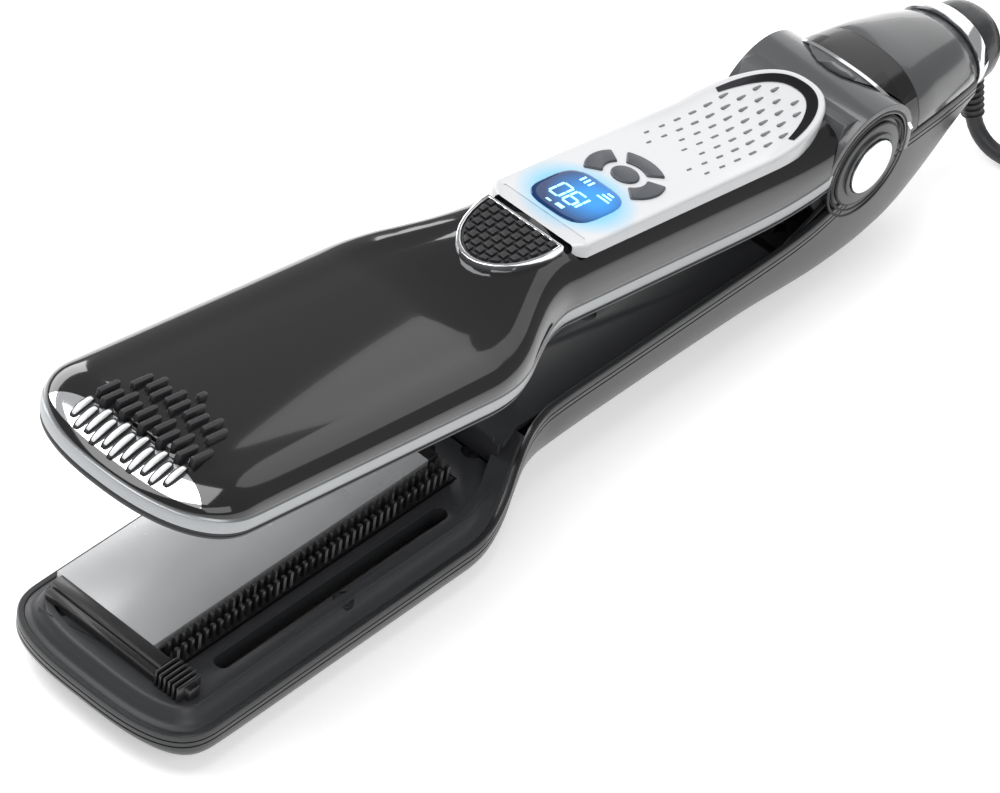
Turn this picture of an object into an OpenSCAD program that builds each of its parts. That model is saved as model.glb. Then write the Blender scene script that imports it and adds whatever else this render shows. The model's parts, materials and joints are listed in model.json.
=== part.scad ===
// Steam hair straightener, lying open on a table, x to the tail, y across, z up, millimetres

/* [Arms] */
// Opening angle at rest
open_angle = 10.8; // [9:0.1:12]
// Hinge axis along the body
hinge_x = 99; // [98:0.5:100]
// Hinge axis height
hinge_z = 42; // [41.5:0.1:42.5]
// Height of the plane where the plates meet
contact_z = 22; // [21.5:0.1:22.5]
// Wall of the arm shells
wall = 2; // [1.6:0.1:2.4]

/* [Plates] */
// Heater plate length
plate_len = 99; // [96:0.5:101]
// Heater plate width
plate_wide = 33.5; // [31:0.5:34]
// Heater plate thickness
plate_thick = 3; // [2.5:0.1:3.4]
// Plate height over the inner frame
plate_proud = 4; // [3.6:0.1:4.4]
// Gap between closed plates
plate_gap = 0.3; // [0.3:0.1:0.6]
// Tooth spacing of the comb strip
tooth_pitch = 2.5; // [2:0.5:4]
// Steam slot width
slot_wide = 4.6; // [4.3:0.1:5]

/* [Hinge] */
// Hinge pin diameter
pin_d = 6; // [5:0.5:7]
// Running clearance on the pin
pin_clear = 0.05; // [0.02:0.01:0.08]
// Radius of the barrel
barrel_r = 18.5; // [18:0.1:19]
// Radius of the side bosses
boss_r = 15; // [14:0.1:15.4]
// Hinge cap radius
cap_r = 8.2; // [7:0.1:9]

/* [Controls] */
// Button travel
button_travel = 0.6; // [0.4:0.1:0.8]
// Display length
lcd_len = 19.6; // [19:0.2:21]
// Display width
lcd_wide = 18; // [17:0.2:18.6]

/* [Tail and cord] */
// Ball radius of the cord swivel
ball_r = 6.5; // [6:0.1:7]
// Power cord diameter
cord_d = 4.8; // [4.4:0.1:5.2]
// Screw head diameter
screw_d = 5; // [4.4:0.1:5.4]

/* [Hidden] */
ny = 24;
// Stations: x, half width, rim height, floor height, roundness
lower_st = [[-173.8, 17, 14, 8, 2.6], [-173.2, 22, 14, 6.4, 2.8], [-171.5, 26.4, 14, 4.2, 3.2],
    [-168.5, 29.6, 14, 2.6, 3.4], [-164, 31.4, 14, 1.4, 3.6], [-157, 32, 14, 0.4, 3.8],
    [-148, 32, 14, 0, 4], [-66, 32, 14, 0, 4], [-58, 31, 14.8, 0.2, 4],
    [-50, 28.4, 17.8, 0.8, 3.8], [-42, 24.6, 22.4, 2, 3.4], [-34, 21.4, 26.8, 3.4, 3.1],
    [-25, 20, 29, 4.8, 2.9], [0, 20, 29.3, 5.6, 2.8], [55, 20, 29.3, 4.6, 2.8],
    [76, 20, 30, 2.4, 2.8], [90, 20, 33, 0.6, 2.8], [102, 20, 38, 0, 2.8],
    [112, 20, 41.6, 0.8, 2.7], [122, 19.8, 42, 4, 2.6], [134, 18.6, 40.8, 11.5, 2.5],
    [146, 16.8, 39.2, 21.5, 2.4], [154, 15.2, 38, 28, 2.4]];
upper_st = [[-177.4, 17, 30, 38.4, 2.8], [-176.8, 22, 30, 39.2, 3], [-175.1, 26.4, 30, 40.4, 3.2],
    [-172, 29.6, 30, 41.6, 3.4], [-167.5, 31.6, 30, 42.6, 3.6], [-160, 32.2, 30, 43.6, 3.8],
    [-150, 32.3, 30, 44, 4], [-70, 32.3, 30, 44.8, 4], [-60, 31.4, 30.2, 46, 4],
    [-52, 29, 30.8, 48, 3.9], [-44, 25.2, 32, 50.4, 3.8], [-36, 21.8, 33.2, 52.6, 3.7],
    [-27, 20, 34, 53.9, 3.6], [0, 20, 34, 54.2, 3.6], [40, 20, 34, 54.2, 3.6],
    [62, 20, 34.6, 54.4, 3.6], [76, 20, 36.4, 55.6, 3.4], [84, 20, 38.4, 57.6, 3.2]];
tank_st = [[121, 19.4, 42.4, 59.4, 2.4], [130, 18.7, 41.8, 58, 2.3], [140, 17.4, 40.5, 55.6, 2.2],
    [148, 16.1, 39.3, 53, 2.1], [153.6, 15, 38.4, 50.6, 2]];
collar_st = [[96, 20, 42, 60.6, 2.8], [106, 20, 42, 61, 2.6], [114, 20, 42.2, 60.6, 2.5],
    [120.6, 19.5, 42.4, 59.6, 2.4]];
plate_x0 = -157;
plate_y0 = -7.5;
frame_top = contact_z - plate_proud;
upper_gap_z = contact_z + plate_gap;
upper_frame_z = upper_gap_z + plate_proud;
ball_at = [168, 0, 36];
relief_dir = [1, -7, -23];
relief_tilt = atan2(norm([relief_dir[0], relief_dir[1]]), -relief_dir[2]);
relief_turn = atan2(relief_dir[1], relief_dir[0]);
cord_pts = [[169.03, -7.19, 12.39], [169.2, -8.6, 8.8], [169.6, -11.8, 5.4], [170.4, -16.5, 3.2],
    [172.4, -22, 2.5], [177, -30, 2.4], [186, -37, 2.4], [200, -41.6, 2.4], [216, -43.4, 2.4],
    [234, -42.6, 2.4], [252, -41.2, 2.4]];
coil_at = [252, -10];
coil_out = 7 * cord_d;
coil_in = 4 * cord_d;
coil_high = 4 * cord_d;

// One row of a section: superellipse half, from +y over the crown to -y
function half_row(s, n, flip, grow) = [for (i = [0:n])
    let (a = 180 * i / n, w = s[1] + grow, h = abs(s[3] - s[2]) + grow, e = 2 / s[4],
        c = cos(a), q = sin(a))
    [s[0], w * sign(c) * pow(abs(c), e), s[2] + flip * h * pow(max(q, 0), e)]];

module loft(rows) {
    n = len(rows[0]);
    m = len(rows);
    pts = [for (r = rows) each r];
    sides = [for (j = [0:m - 2], i = [0:n - 1])
        let (a = j * n + i, b = j * n + (i + 1) % n, c = a + n, d = b + n)
        each [[a, b, d], [a, d, c]]];
    front = [for (i = [1:n - 2]) [0, i + 1, i]];
    rear = [for (i = [1:n - 2]) [(m - 1) * n, (m - 1) * n + i, (m - 1) * n + i + 1]];
    polyhedron(concat(pts), concat(sides, front, rear));
}

// A closed body: the half section, with its flat face moved out by cap
module skin(st, flip, grow, cap) {
    loft([for (s = st) let (r = concat(half_row(s, ny, flip, grow), cap == 0 ? []
        : [for (q = [-1, 1]) [s[0], q * (s[1] + grow), s[2] - flip * cap]])) flip > 0 ? reverse_row(r) : r]);
}

function reverse_row(r) = [for (i = [len(r) - 1:-1:0]) r[i]];

module opened() {
    translate([hinge_x, 0, hinge_z]) rotate([0, open_angle, 0]) translate([-hinge_x, 0, -hinge_z]) children();
}

module y_cyl(x, z, r, y0, y1, n = 64) {
    translate([x, y1, z]) rotate([90, 0, 0]) cylinder(r = r, h = y1 - y0, $fn = n);
}

module rod(x, y, z0, z1, d, n = 32) {
    translate([x, y, z0]) cylinder(d = d, h = z1 - z0, $fn = n);
}

module block(x0, x1, y0, y1, z0, z1) {
    translate([x0, y0, z0]) cube([x1 - x0, y1 - y0, z1 - z0]);
}

module lower_shell() {
    color([0.16, 0.16, 0.17]) difference() {
        skin(lower_st, -1, 0, 0);
        skin([for (i = [2:len(lower_st) - 2]) let (s = lower_st[i])
            [s[0] + (i < 6 ? wall : 0), s[1], s[2], s[3], s[4]]], -1, -wall, 12);
        y_cyl(hinge_x, hinge_z, barrel_r + 0.5, -24, 24, 96);
    }
}

lower_outline = [[-168, -20], [-168, 20], [-163.6, 26], [-156, 29.2], [-66, 29.2], [-57, 27.8], [-49, 24.8],
    [-41, 21], [-34, 17.8], [-34, -17.8], [-41, -21], [-49, -24.8], [-57, -27.8], [-66, -29.2],
    [-156, -29.2], [-163.6, -26]];

module lower_frame() {
    color([0.1, 0.1, 0.11]) difference() {
        union() {
            translate([0, 0, 11]) linear_extrude(3) polygon(lower_outline);
            translate([0, 0, 11]) linear_extrude(frame_top - 11) polygon([[-166, -19], [-166, 23],
                [-160, 26.5], [-62, 26.5], [-52, 24], [-44, 19], [-44, -19], [-52, -24], [-62, -26],
                [-160, -26]]);
        }
        block(plate_x0 - 0.3, plate_x0 + plate_len + 0.3, plate_y0 - 0.3, plate_y0 + plate_wide + 0.3,
            10, frame_top + 1);
        block(plate_x0 + 12, plate_x0 + 90, -20 - slot_wide / 2, -20 + slot_wide / 2, 10, frame_top + 1);
        rod(plate_x0 + 12, -20, 10, frame_top + 1, slot_wide);
        rod(plate_x0 + 90, -20, 10, frame_top + 1, slot_wide);
        block(plate_x0 - 2, plate_x0 + 103, -14.4, -8.6, 12, frame_top + 1);
        for (p = screw_at) rod(p[0], p[1], frame_top - 1.6, frame_top + 1, screw_d + 0.8);
    }
}

screw_at = [[-163, 19.5], [-107, -25], [-43.5, -10], [-49, 14]];

module lower_screws() {
    color([0.55, 0.55, 0.57]) for (p = screw_at) difference() {
        union() {
            rod(p[0], p[1], frame_top - 1.6, frame_top - 0.4, screw_d);
            rod(p[0], p[1], 6, frame_top - 1.6, 2.4, 24);
        }
        block(p[0] - 1.5, p[0] + 1.5, p[1] - 0.4, p[1] + 0.4, frame_top - 0.9, frame_top);
        block(p[0] - 0.4, p[0] + 0.4, p[1] - 1.5, p[1] + 1.5, frame_top - 0.9, frame_top);
    }
}

module lower_heater_plate() {
    color([0.82, 0.83, 0.85]) difference() {
        union() {
            block(plate_x0, plate_x0 + plate_len, plate_y0, plate_y0 + plate_wide,
                contact_z - plate_thick, contact_z);
            block(plate_x0 + 4, plate_x0 + plate_len - 4, plate_y0 + 2, plate_y0 + 5, 12,
                contact_z - plate_thick);
            block(plate_x0 + 4, plate_x0 + plate_len - 4, plate_y0 + plate_wide - 5,
                plate_y0 + plate_wide - 2, 12, contact_z - plate_thick);
        }
        for (x = [-130, -85]) rod(x, 9.25, 10, contact_z - 1, 2.4);
    }
}

module plate_screws() {
    color([0.6, 0.6, 0.62]) for (x = [-130, -85]) {
        rod(x, 9.25, 10, contact_z - 1.3, 2.4, 24);
        rod(x, 9.25, 8.4, 10, 4.6);
    }
}

module lower_element() {
    color([0.85, 0.82, 0.74]) difference() {
        block(plate_x0 + 10, plate_x0 + plate_len - 10, 1, 17.5, 16, contact_z - plate_thick);
        for (x = [-130, -85]) rod(x, 9.25, 10, 30, 3.4);
    }
}

module comb_strip() {
    color([0.06, 0.06, 0.07]) union() {
        block(plate_x0, plate_x0 + 102, -14, -9, 12, frame_top + 0.6);
        for (x = [plate_x0 + 2:tooth_pitch:plate_x0 + 100]) {
            block(x, x + 1, -13.6, -12.4, frame_top, contact_z + 1.4);
            block(x, x + 1, -10.6, -9.4, frame_top, contact_z + 1.4);
        }
    }
}

module front_clamp() {
    color([0.05, 0.05, 0.06]) union() {
        block(plate_x0 - 4, plate_x0 - 0.3, -14, 24, frame_top, contact_z + 0.6);
        block(plate_x0 - 6, plate_x0 - 4, -14, 24, frame_top, contact_z - 1.4);
        block(plate_x0 - 4, plate_x0 - 0.4, -24, -14.4, frame_top, contact_z - 0.4);
        for (i = [0:5]) block(plate_x0 - 6.6, plate_x0 + 1.4, -22.6 + 1.5 * i, -21.8 + 1.5 * i,
            frame_top, contact_z + 0.8);
    }
}

module rear_clamp() {
    color([0.05, 0.05, 0.06]) union() {
        block(plate_x0 + plate_len + 0.4, plate_x0 + plate_len + 4, -7.4, 25, frame_top, contact_z - 0.4);
        block(plate_x0 + plate_len + 4, plate_x0 + plate_len + 7, -4, 22, frame_top, contact_z - 2);
    }
}

module steam_manifold() {
    color([0.75, 0.74, 0.7]) difference() {
        block(plate_x0 + 6, plate_x0 + 96, -23.4, -15.4, 4, 10.6);
        block(plate_x0 + 8, plate_x0 + 94, -22, -17, 5.4, 11);
    }
}

module steam_pipe() {
    color([0.8, 0.8, 0.82]) tube_between([-61, -17, 7.2], [17, -3, 14.8], 2);
}

module tube_between(a, b, d) {
    v = b - a;
    translate(a) rotate([0, acos(v[2] / norm(v)), atan2(v[1], v[0])])
        cylinder(d = d, h = norm(v), $fn = 24);
}

module steam_pump() {
    color([0.3, 0.3, 0.33]) {
        block(17, 52, -11, 5, 11.5, 24.8);
        translate([52, -3, 17]) rotate([0, 90, 0]) cylinder(d = 12, h = 14, $fn = 32);
        block(20, 48, -6, 2, 7.4, 11.5);
    }
}

deck_outline = [[-43, -19], [-36, -17], [-26, -17.4], [66, -17.4], [66, 17.4], [-26, 17.4], [-36, 17],
    [-43, 19]];

module lower_deck() {
    // inner lid of the handle, with the ramp that climbs to it from the plate end
    color([0.1, 0.1, 0.11]) difference() {
        union() {
            translate([0, 0, 24.8]) linear_extrude(2) polygon(deck_outline);
            block(-43.5, -42, -18, 18, 18, 25.6);
            block(-43.5, -34, -16, 16, 24, 26.8);
        }
        rod(10, 0, 25.4, 30, screw_d + 0.8);
        for (x = [-16, 50]) rod(x, 0, 20, 30, 3, 24);
    }
}

module lower_tip_grip() {
    color([0.09, 0.09, 0.1]) for (i = [-3:3]) {
        block(-167 + abs(i), -160.4, 6.2 * i - 1.2, 6.2 * i + 1.2, 0.9 + 0.2 * abs(i), 3.4);
    }
}

module foot_accent() {
    color([0.8, 0.8, 0.82]) difference() {
        intersection() {
            skin([for (i = [13:20]) lower_st[i]], -1, 0.35, 0);
            union() {
                translate([0, -30, 0]) rotate([-90, 0, 0]) linear_extrude(60) polygon([[92, -3], [98, 4],
                    [150, 4], [150, -34], [136, -24], [128, -13], [114, -7], [100, -2]]);
            }
        }
        skin([for (i = [12:21]) lower_st[i]], -1, 0.02, 20);
    }
}

module hinge_bosses() {
    color([0.12, 0.12, 0.13]) for (s = [-1, 1]) difference() {
        union() {
            mirror([0, s < 0 ? 1 : 0, 0]) {
                y_cyl(hinge_x, hinge_z, boss_r, 16.2, 19.4, 96);
                y_cyl(hinge_x, hinge_z, 12.6, 16.2, 20.2, 96);
                y_cyl(hinge_x, hinge_z, 10, 16.2, 21, 96);
                translate([0, 17.4, 0]) rotate([90, 0, 0]) linear_extrude(1.2) polygon([[66, 24],
                    [88, 33], [95, 30], [110, 31], [112, 26], [92, 20], [66, 20]]);
            }
        }
        y_cyl(hinge_x, hinge_z, pin_d / 2 + pin_clear, -24, 24);
        y_cyl(hinge_x, hinge_z, cap_r + 0.3, 20.2, 24);
        y_cyl(hinge_x, hinge_z, cap_r + 0.3, -24, -20.2);
    }
}

module hinge_pin() {
    color([0.7, 0.7, 0.72]) y_cyl(hinge_x, hinge_z, pin_d / 2, -20, 20);
}

module hinge_caps() {
    color([0.85, 0.85, 0.87]) for (s = [0, 1]) mirror([0, s, 0]) {
        y_cyl(hinge_x, hinge_z, cap_r, 20.2, 21.6, 96);
        y_cyl(hinge_x, hinge_z, pin_d / 2, 20, 20.2);
    }
}

module opening_spring() {
    color([0.5, 0.5, 0.52]) difference() {
        y_cyl(hinge_x, hinge_z, 5, -6, 6, 32);
        y_cyl(hinge_x, hinge_z, pin_d / 2 + 0.3, -8, 8, 32);
    }
}

module rear_collar() {
    color([0.07, 0.07, 0.08]) difference() {
        skin(collar_st, 1, 0, 0);
        skin([for (s = collar_st) [s[0] + (s[0] > 119 ? -2 : 0), s[1], s[2], s[3], s[4]]], 1, -wall, 6);
        y_cyl(hinge_x, hinge_z, barrel_r + 0.5, -24, 24, 96);
        block(80, hinge_x, -24, 24, 30, 70);
    }
}

module tail_ring() {
    color([0.86, 0.86, 0.88]) loft([for (s = [[154, 15.6, 12.4], [156, 15.2, 11.9], [159.6, 14, 11.2]])
        [for (i = [0:31]) let (a = -360 * i / 32) [s[0], s[1] * cos(a), 39.6 + s[2] * sin(a)]]]);
}

module tail_socket() {
    color([0.2, 0.2, 0.21]) difference() {
        translate([0, 0, 36]) rotate([0, 90, 0]) rotate_extrude($fn = 64) polygon([[0, 159.6], [12, 159.6],
            [12.4, 163], [12, 167], [10.8, 170], [8.6, 172.6], [5.6, 174.2], [0, 175]]);
        translate(ball_at) sphere(r = ball_r + 0.3, $fn = 48);
        relief_pose() cylinder(r = 8.4, h = 30, $fn = 48);
    }
}

module relief_pose() {
    translate(ball_at) rotate([0, 0, relief_turn]) rotate([0, 180 - relief_tilt, 0]) children();
}

module cord_ball() {
    color([0.14, 0.14, 0.15]) {
        translate(ball_at) sphere(r = ball_r, $fn = 48);
        relief_pose() cylinder(r = 3.6, h = 9, $fn = 32);
    }
}

module strain_relief() {
    color([0.08, 0.08, 0.09]) relief_pose() rotate_extrude($fn = 32) polygon(concat([[0, 9], [4.4, 9]],
        [for (i = [0:6]) each [[4.4 - 0.15 * i, 10 + 2 * i], [3.5 - 0.12 * i, 10.4 + 2 * i],
            [3.5 - 0.12 * i, 11.6 + 2 * i], [4.3 - 0.15 * i, 12 + 2 * i]]],
        [[3.3, 24.4], [0, 24.4]]));
}

module water_tank() {
    color([0.28, 0.28, 0.3]) difference() {
        skin(tank_st, 1, 0, 0);
        skin([[123, 19.2, 44.4, 59, 2.4], [130, 18.7, 43.8, 58, 2.3], [140, 17.4, 42.5, 55.6, 2.2],
            [151.6, 15.3, 40.8, 51.6, 2.1]], 1, -wall, 0);
        translate([119, 0, 48]) rotate([0, 90, 0]) cylinder(r = 3.05, h = 6, $fn = 32);
    }
}

module tank_seal() {
    color([0.2, 0.2, 0.2]) difference() {
        translate([120.8, 0, 48]) rotate([0, 90, 0]) cylinder(r = 3, h = 3.4, $fn = 32);
        translate([120, 0, 48]) rotate([0, 90, 0]) cylinder(r = 1.4, h = 5, $fn = 32);
    }
}

module upper_cover() {
    color([0.03, 0.03, 0.035]) opened() difference() {
        skin(upper_st, 1, 0, 0);
        skin([for (i = [2:len(upper_st) - 1]) let (s = upper_st[i])
            [s[0] + (i < 6 ? wall : i == len(upper_st) - 1 ? 1 : 0), s[1], s[2], s[3], s[4]]], 1, -wall, 4);
        translate([0, 0, 47]) linear_extrude(20) polygon(panel_points(0.15));
        translate([-38.5, 0, 40]) cylinder(r = 8, h = 20, $fn = 48);
        y_cyl(hinge_x, hinge_z, barrel_r + 0.05, -24, 24, 96);
    }
}

module side_band() {
    // satin strip along both sides and round the nose, lying on the cover
    color([0.62, 0.63, 0.65]) opened() difference() {
        skin([for (i = [0:17]) let (s = upper_st[i]) [s[0] - (i == 0 ? 0.4 : 0), s[1], s[2], s[3], s[4]]],
            1, 0.4, 0);
        skin([for (i = [0:17]) let (s = upper_st[i]) [s[0] + (i == 17 ? 1 : 0), s[1], s[2], s[3], s[4]]],
            1, 0.02, 6);
        translate([0, -40, 0]) rotate([-90, 0, 0]) linear_extrude(80) polygon([[-180, -36.4],
            [-66, -36.6], [-36, -39.8], [60, -41], [84, -44.8], [100, -70], [-180, -70]]);
        translate([0, -40, 0]) rotate([-90, 0, 0]) linear_extrude(80) polygon([[-180, -32.1], [-66, -32.1],
            [-36, -35.3], [60, -36.4], [84, -40.5], [100, -20], [-180, -20]]);
        y_cyl(hinge_x, hinge_z, barrel_r + 0.05, -24, 24, 96);
    }
}

module barrel() {
    color([0.13, 0.13, 0.14]) opened() difference() {
        union() {
            y_cyl(hinge_x, hinge_z, barrel_r, -20, 20, 96);
            block(84, hinge_x, -17.8, 17.8, 40, 58);
        }
        for (s = [0, 1]) mirror([0, s, 0]) {
            y_cyl(hinge_x, hinge_z, boss_r + 0.5, 15.9, 24, 96);
            block(60, 120, 15.9, 24, 10, 41);
        }
        y_cyl(hinge_x, hinge_z, barrel_r - 3, -13, 13, 64);
        y_cyl(hinge_x, hinge_z, pin_d / 2 + 0.02, -24, 24);
        block(70, 90, -14, 14, 36, 50);
    }
}

upper_outline = [[-172, -20], [-172, 20], [-167, 27], [-159, 29.6], [-70, 29.6], [-60, 28.4], [-51, 25.6],
    [-44, 22], [-36, 18.8], [-27, 17.2], [76, 17.2], [76, -17.2], [-27, -17.2], [-36, -18.8], [-44, -22],
    [-51, -25.6], [-60, -28.4], [-70, -29.6], [-159, -29.6], [-167, -27]];

module upper_frame() {
    color([0.09, 0.09, 0.1]) opened() difference() {
        union() {
            translate([0, 0, 30.4]) linear_extrude(2) polygon([for (p = upper_outline) if (p[0] < -40) p]);
            translate([0, 0, 34.1]) linear_extrude(2) polygon([for (p = upper_outline) if (p[0] > -58)
                p]);
            translate([0, 0, upper_frame_z]) linear_extrude(4.2) polygon([[-168, -17], [-168, 23],
                [-160, 26.5], [-62, 26.5], [-52, 24], [-46, 19], [-46, -19], [-52, -24], [-62, -26],
                [-160, -26]]);
            block(-58, -46, -20, 20, 32, 35);
        }
        block(plate_x0 - 0.3, plate_x0 + plate_len + 0.3, plate_y0 - 0.3, plate_y0 + plate_wide + 0.3, 20, 29.4);
        block(plate_x0 - 8, plate_x0 + 104, -24, -8.4, 20, 28.4);
        for (p = upper_screw_at) rod(p[0], p[1], 20, upper_frame_z + 1.6, screw_d + 0.8);
        for (p = upper_screw_at) rod(p[0], p[1], 20, 40, 3);
    }
}

upper_screw_at = [[-163, 21], [-51, 12], [-51, -12]];

module upper_screws() {
    color([0.55, 0.55, 0.57]) opened() for (p = upper_screw_at) {
        rod(p[0], p[1], upper_frame_z + 0.4, upper_frame_z + 1.6, screw_d);
        rod(p[0], p[1], upper_frame_z + 1.6, 38, 2.4, 24);
    }
}

module upper_heater_plate() {
    color([0.82, 0.83, 0.85]) opened() {
        block(plate_x0, plate_x0 + plate_len, plate_y0, plate_y0 + plate_wide, upper_gap_z,
            upper_gap_z + plate_thick);
        block(plate_x0 + 4, plate_x0 + plate_len - 4, plate_y0 + 2, plate_y0 + 5, upper_gap_z + plate_thick,
            29.4);
        block(plate_x0 + 4, plate_x0 + plate_len - 4, plate_y0 + plate_wide - 5, plate_y0 + plate_wide - 2,
            upper_gap_z + plate_thick, 29.4);
    }
}

module upper_element() {
    color([0.85, 0.82, 0.74]) opened() block(plate_x0 + 10, plate_x0 + plate_len - 10, 1, 17.5,
        upper_gap_z + plate_thick, 28.4);
}

module tip_accent() {
    // bright crescent on the nose, in front of the ribbed field
    color([0.88, 0.88, 0.9]) opened() difference() {
        skin([for (i = [1:7]) upper_st[i]], 1, 0.3, 0);
        skin([for (i = [0:7]) let (s = upper_st[i]) [s[0], s[1], s[2], s[3], s[4]]], 1, 0.02, 4);
        block(-180, -40, -40, 40, 25, 38.2);
        translate([0, 0, 20]) linear_extrude(40) polygon(concat([[-60, -40]],
            [for (y = [-33:3:33]) [-165.5 - 12 * y * y / 729, y]], [[-60, 40]]));
    }
}

module tip_ribs() {
    // staggered ribs, the front ones running out over the bright crescent
    color([0.04, 0.04, 0.05]) opened() for (i = [-4:4]) {
        y = 3.5 * i;
        front = -173.4 + 0.13 * i * i + (abs(i) % 2) * 2.4;
        back = -145.2 - 0.45 * i * i;
        for (x = [front, front + 10.4, front + 19.2]) if (x + 6.6 < back + 2.6)
            block(x, x + (x == front ? 8.6 : 7), y - 0.8, y + 0.8, 41, x == front ? 44 : 45.3);
    }
}

function d_points(a, b) = concat([[0, -b]], [for (t = [-80:10:80]) [-a * cos(t), b * sin(t)]], [[0, b]]);

module on_pad() {
    translate([-27.4, 0, 54.4]) rotate([0, -10.6, 0]) children();
}

module grip_bezel() {
    color([0.85, 0.85, 0.87]) opened() on_pad() difference() {
        translate([0, 0, -3.6]) linear_extrude(4.4) polygon(d_points(22, 13));
        translate([-0.8, 0, -4]) linear_extrude(6) polygon(d_points(20, 12));
    }
}

module grip_pad() {
    color([0.07, 0.07, 0.08]) opened() on_pad() translate([-0.9, 0, 0]) {
        translate([0, 0, -3.4]) linear_extrude(3.5) polygon(d_points(19.6, 11.8));
        intersection() {
            translate([0, 0, -1]) linear_extrude(3) polygon(d_points(19, 11.2));
            union() for (i = [-4:4], k = [-6:0]) block(3.1 * k - 1.9 + (abs(i) % 2) * 1.4,
                3.1 * k + 0.2 + (abs(i) % 2) * 1.4, 2.6 * i - 0.9, 2.6 * i + 0.9, -0.5, 1);
        }
    }
}

// Outline of the raised panel: square in front, round behind
function panel_points(g) = concat([[-22.4 - g, -14.6], [-20.6 - g, -16.2 - g], [50, -16 - g]],
    [for (t = [-84:12:84]) [52 + (38 + g) * cos(t), (16 + g) * sin(t)]],
    [[50, 16 + g], [-20.6 - g, 16.2 + g], [-22.4 - g, 14.6]]);

module control_panel() {
    color([0.93, 0.94, 0.96]) opened() difference() {
        union() {
            translate([0, 0, 51.4]) linear_extrude(3.6) polygon(panel_points(0));
            intersection() {
                translate([0, 0, 53]) linear_extrude(8) polygon(panel_points(0));
                translate([0, -20, 0]) rotate([-90, 0, 0]) linear_extrude(40) polygon([[60, -54],
                    [72, -56], [84, -58.6], [92, -60.6], [92, -52], [60, -52]]);
            }
        }
        translate([lcd_x, -lcd_wide / 2, 53.6]) cube([lcd_len, lcd_wide, 4]);
        translate([lcd_x + 1.6, -lcd_wide / 2 + 1.6, 50]) cube([lcd_len - 3.2, lcd_wide - 3.2, 8]);
        for (k = [0:3]) translate([0, 0, 50]) key_shape(k, 0.25, 12);
        y_cyl(hinge_x, hinge_z, barrel_r + 0.05, -24, 24, 96);
    }
}

lcd_x = -16.4;
key_ring = [12.6, 0];

// Middle key round, the other three arcs about it
module key_shape(k, g, h) {
    translate([key_ring[0], key_ring[1], 0]) {
        if (k == 0) cylinder(r = 3.9 + g, h = h, $fn = 40);
        if (k > 0) intersection() {
            difference() {
                cylinder(r = 11 + g, h = h, $fn = 64);
                translate([0, 0, -1]) cylinder(r = 5.9 - g, h = h + 2, $fn = 48);
            }
            rotate([0, 0, [0, 96, 0, -96][k]]) linear_extrude(h) polygon([[0, 0], [14, -10.5 - 1.6 * g],
                [14, 10.5 + 1.6 * g]]);
        }
    }
}

module push_button(k) {
    color([0.22, 0.23, 0.25]) opened() union() {
        translate([0, 0, 50.8]) key_shape(k, 0, 5);
    }
}

module power_button() push_button(0);
module steam_button() push_button(1);
module plus_button() push_button(2);
module minus_button() push_button(3);

module display_lens() {
    color([0.1, 0.35, 0.75]) opened() translate([lcd_x + 0.2, -lcd_wide / 2 + 0.2, 53.6])
        cube([lcd_len - 0.4, lcd_wide - 0.4, 1.5]);
}

module display_module() {
    color([0.2, 0.25, 0.2]) opened() translate([lcd_x + 2, -lcd_wide / 2 + 2, 50.4])
        cube([lcd_len - 4, lcd_wide - 4, 3.2]);
}

module circuit_board() {
    color([0.1, 0.35, 0.15]) opened() union() {
        block(-20, 54, -10.5, 10.5, 46.8, 48.4);
        block(key_ring[0] - 2, key_ring[0] + 2, -2, 2, 48.4, 49.8);
        for (y = [-8.4, 8.4]) block(key_ring[0] - 3, key_ring[0] + 1, y - 1.6, y + 1.6, 48.4, 49.8);
        block(key_ring[0] + 6.4, key_ring[0] + 10.4, -2, 2, 48.4, 49.8);
        block(lcd_x + 2.4, lcd_x + 16, -6, 6, 48.4, 50.2);
        for (x = [-18, 50], y = [-9, 9]) rod(x, y, 36.4, 46.8, 4, 16);
    }
}

function ring(p, t, r, n) = let (u = t / norm(t), a = cross([0, 0, 1], u), s = a / norm(a), w = cross(u, s))
    [for (i = [0:n - 1]) p + r * cos(360 * i / n) * s + r * sin(360 * i / n) * w];

module power_cord() {
    q = cord_pts;
    m = len(q);
    color([0.1, 0.1, 0.11]) loft([for (i = [0:m - 1]) let (t = i == 0 ? -1 * -relief_dir
        : i == m - 1 ? q[i] - q[i - 1] : (q[i + 1] - q[i - 1])) reverse_row(ring(q[i], t, cord_d / 2, 10))]);
}

module cord_coil() {
    e = 1.6;
    color([0.1, 0.1, 0.11]) translate([coil_at[0], coil_at[1], 0]) rotate_extrude($fn = 48)
        polygon([[coil_in, e], [coil_in + e, 0], [coil_out - e, 0], [coil_out, e], [coil_out, coil_high - e],
            [coil_out - e, coil_high], [coil_in + e, coil_high], [coil_in, coil_high - e]]);
}

module cord_tie() {
    y0 = coil_at[1] + coil_in;
    y1 = coil_at[1] + coil_out;
    color([0.85, 0.85, 0.85]) difference() {
        block(coil_at[0] - 4, coil_at[0] + 4, y0 - 0.8, y1 + 0.8, 0, coil_high + 0.8);
        block(coil_at[0] - 5, coil_at[0] + 5, y0, y1, 0.3, coil_high);
    }
}

module plug() {
    x = coil_at[0];
    y = coil_at[1];
    z = coil_high;
    color([0.12, 0.12, 0.13]) {
        block(x - 22, x + 14, y - 11, y + 11, z, z + 12);
        block(x + 14, x + 20, y - 8, y + 8, z + 2, z + 10);
    }
    color([0.8, 0.8, 0.82]) for (q = [-6.3, 6.3])
        block(x + 20, x + 37, y + q - 0.75, y + q + 0.75, z + 3, z + 9);
}

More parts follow.
